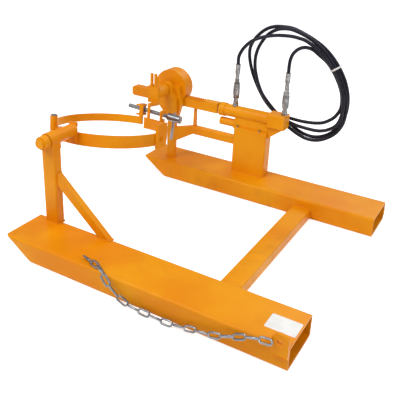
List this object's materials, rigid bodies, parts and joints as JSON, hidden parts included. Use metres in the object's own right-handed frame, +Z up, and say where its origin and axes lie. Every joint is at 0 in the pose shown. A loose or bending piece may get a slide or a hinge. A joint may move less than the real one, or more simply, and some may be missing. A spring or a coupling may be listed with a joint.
{
  "type": "drum tilter",
  "caption": "Fork mounted hydraulic drum tilter: two fork pockets carry a hinged drum ring, turned by a rack and pinion, with a hand clamp screw.",
  "frame": {"origin": "on the floor, midway between the tips of the frame and midway between the two fork pockets", "axes": "+X along the pockets towards the truck (open ends), +Y across towards the drive side, +Z up"},
  "size_m": [1.6005, 1.4249, 0.955],
  "materials": {
    "paint": "glossy yellow orange machine paint",
    "zinc_steel": "zinc plated",
    "bare_steel": "turned and greased",
    "chrome_rod": "ground and hard chromed",
    "bronze": "machined bearing bronze",
    "seal": "black seal and guide material",
    "hose_rubber": "smooth black hose cover"
  },
  "bodies": {
    "frame": {"near_pocket": "paint", "far_pocket": "paint", "near_nose": "paint", "far_nose": "paint", "cross_member": "paint", "near_post": "paint", "near_brace": "paint", "near_bearing": "paint", "near_bush": "bronze", "far_post": "paint", "post_stay": "paint", "far_bearing": "paint", "far_bush": "bronze", "case_bracket": "paint", "gear_case": "paint", "case_cover": "paint", "case_bolts": "zinc_steel", "rack_shoe": "bronze", "cylinder_post": "paint", "tie_bar": "paint", "rack_rest": "paint", "cylinder_saddle": "paint", "saddle_bolts": "zinc_steel", "cylinder_barrel": "paint", "cylinder_head": "paint", "head_seal": "seal", "end_cap": "paint", "port_adapters": "zinc_steel", "chain_lugs": "paint", "safety_chain": "zinc_steel", "hose_fittings": "zinc_steel", "hose_a": "hose_rubber", "hose_b": "hose_rubber", "hose_coil": "hose_rubber", "hose_tails": "hose_rubber", "hose_couplings": "zinc_steel", "hose_clip": "paint"},
    "rack_bar": {"rack": "paint", "piston_rod": "chrome_rod", "piston": "seal"},
    "cradle": {"near_hanger": "paint", "far_hanger": "paint", "yoke_bolt": "paint", "near_shaft": "paint", "near_collar": "paint", "far_shaft": "paint", "pinion": "bare_steel", "pinion_nut": "zinc_steel", "rear_band": "paint", "steady_plate": "paint", "steady_bolt": "paint", "clamp_bracket": "paint", "hinge_ears": "paint", "hinge_pin": "zinc_steel"},
    "gate": {"gate_band": "paint", "gate_knuckle": "paint", "gate_lugs": "paint"},
    "swivel": {"swivel_nut": "zinc_steel"},
    "screw": {"clamp_screw": "zinc_steel", "screw_handle": "zinc_steel"}
  },
  "joints": [
    {"name": "rack_slide", "type": "slide", "parent": "frame", "child": "rack_bar", "axis": [-1, 0, 0], "range_m": [0, 0.149]},
    {"name": "cradle_tilt", "type": "hinge", "parent": "frame", "child": "cradle", "pos_m": [-0.5, 0, 0.525], "axis": [0, 1, 0], "range_deg": [0, 170]},
    {"name": "gate_hinge", "type": "hinge", "parent": "cradle", "child": "gate", "pos_m": [-0.60659, -0.31777, 0.51084], "axis": [-0.0516, 0.1616, 0.9855], "range_deg": [0, 100]},
    {"name": "screw_swing", "type": "hinge", "parent": "gate", "child": "swivel", "pos_m": [-0.53312, 0.32769, 0.44639], "axis": [-0.0516, 0.1616, 0.9855], "range_deg": [-10, 12]},
    {"name": "screw_turn", "type": "hinge", "parent": "swivel", "child": "screw", "pos_m": [-0.53312, 0.32769, 0.44639], "axis": [0.9989, -0.0158, -0.0441], "range_deg": [-6, 240]}
  ],
  "couplings": [
    {"joint": "rack_slide", "follows": "cradle_tilt", "m_per_rad": 0.05}
  ]
}
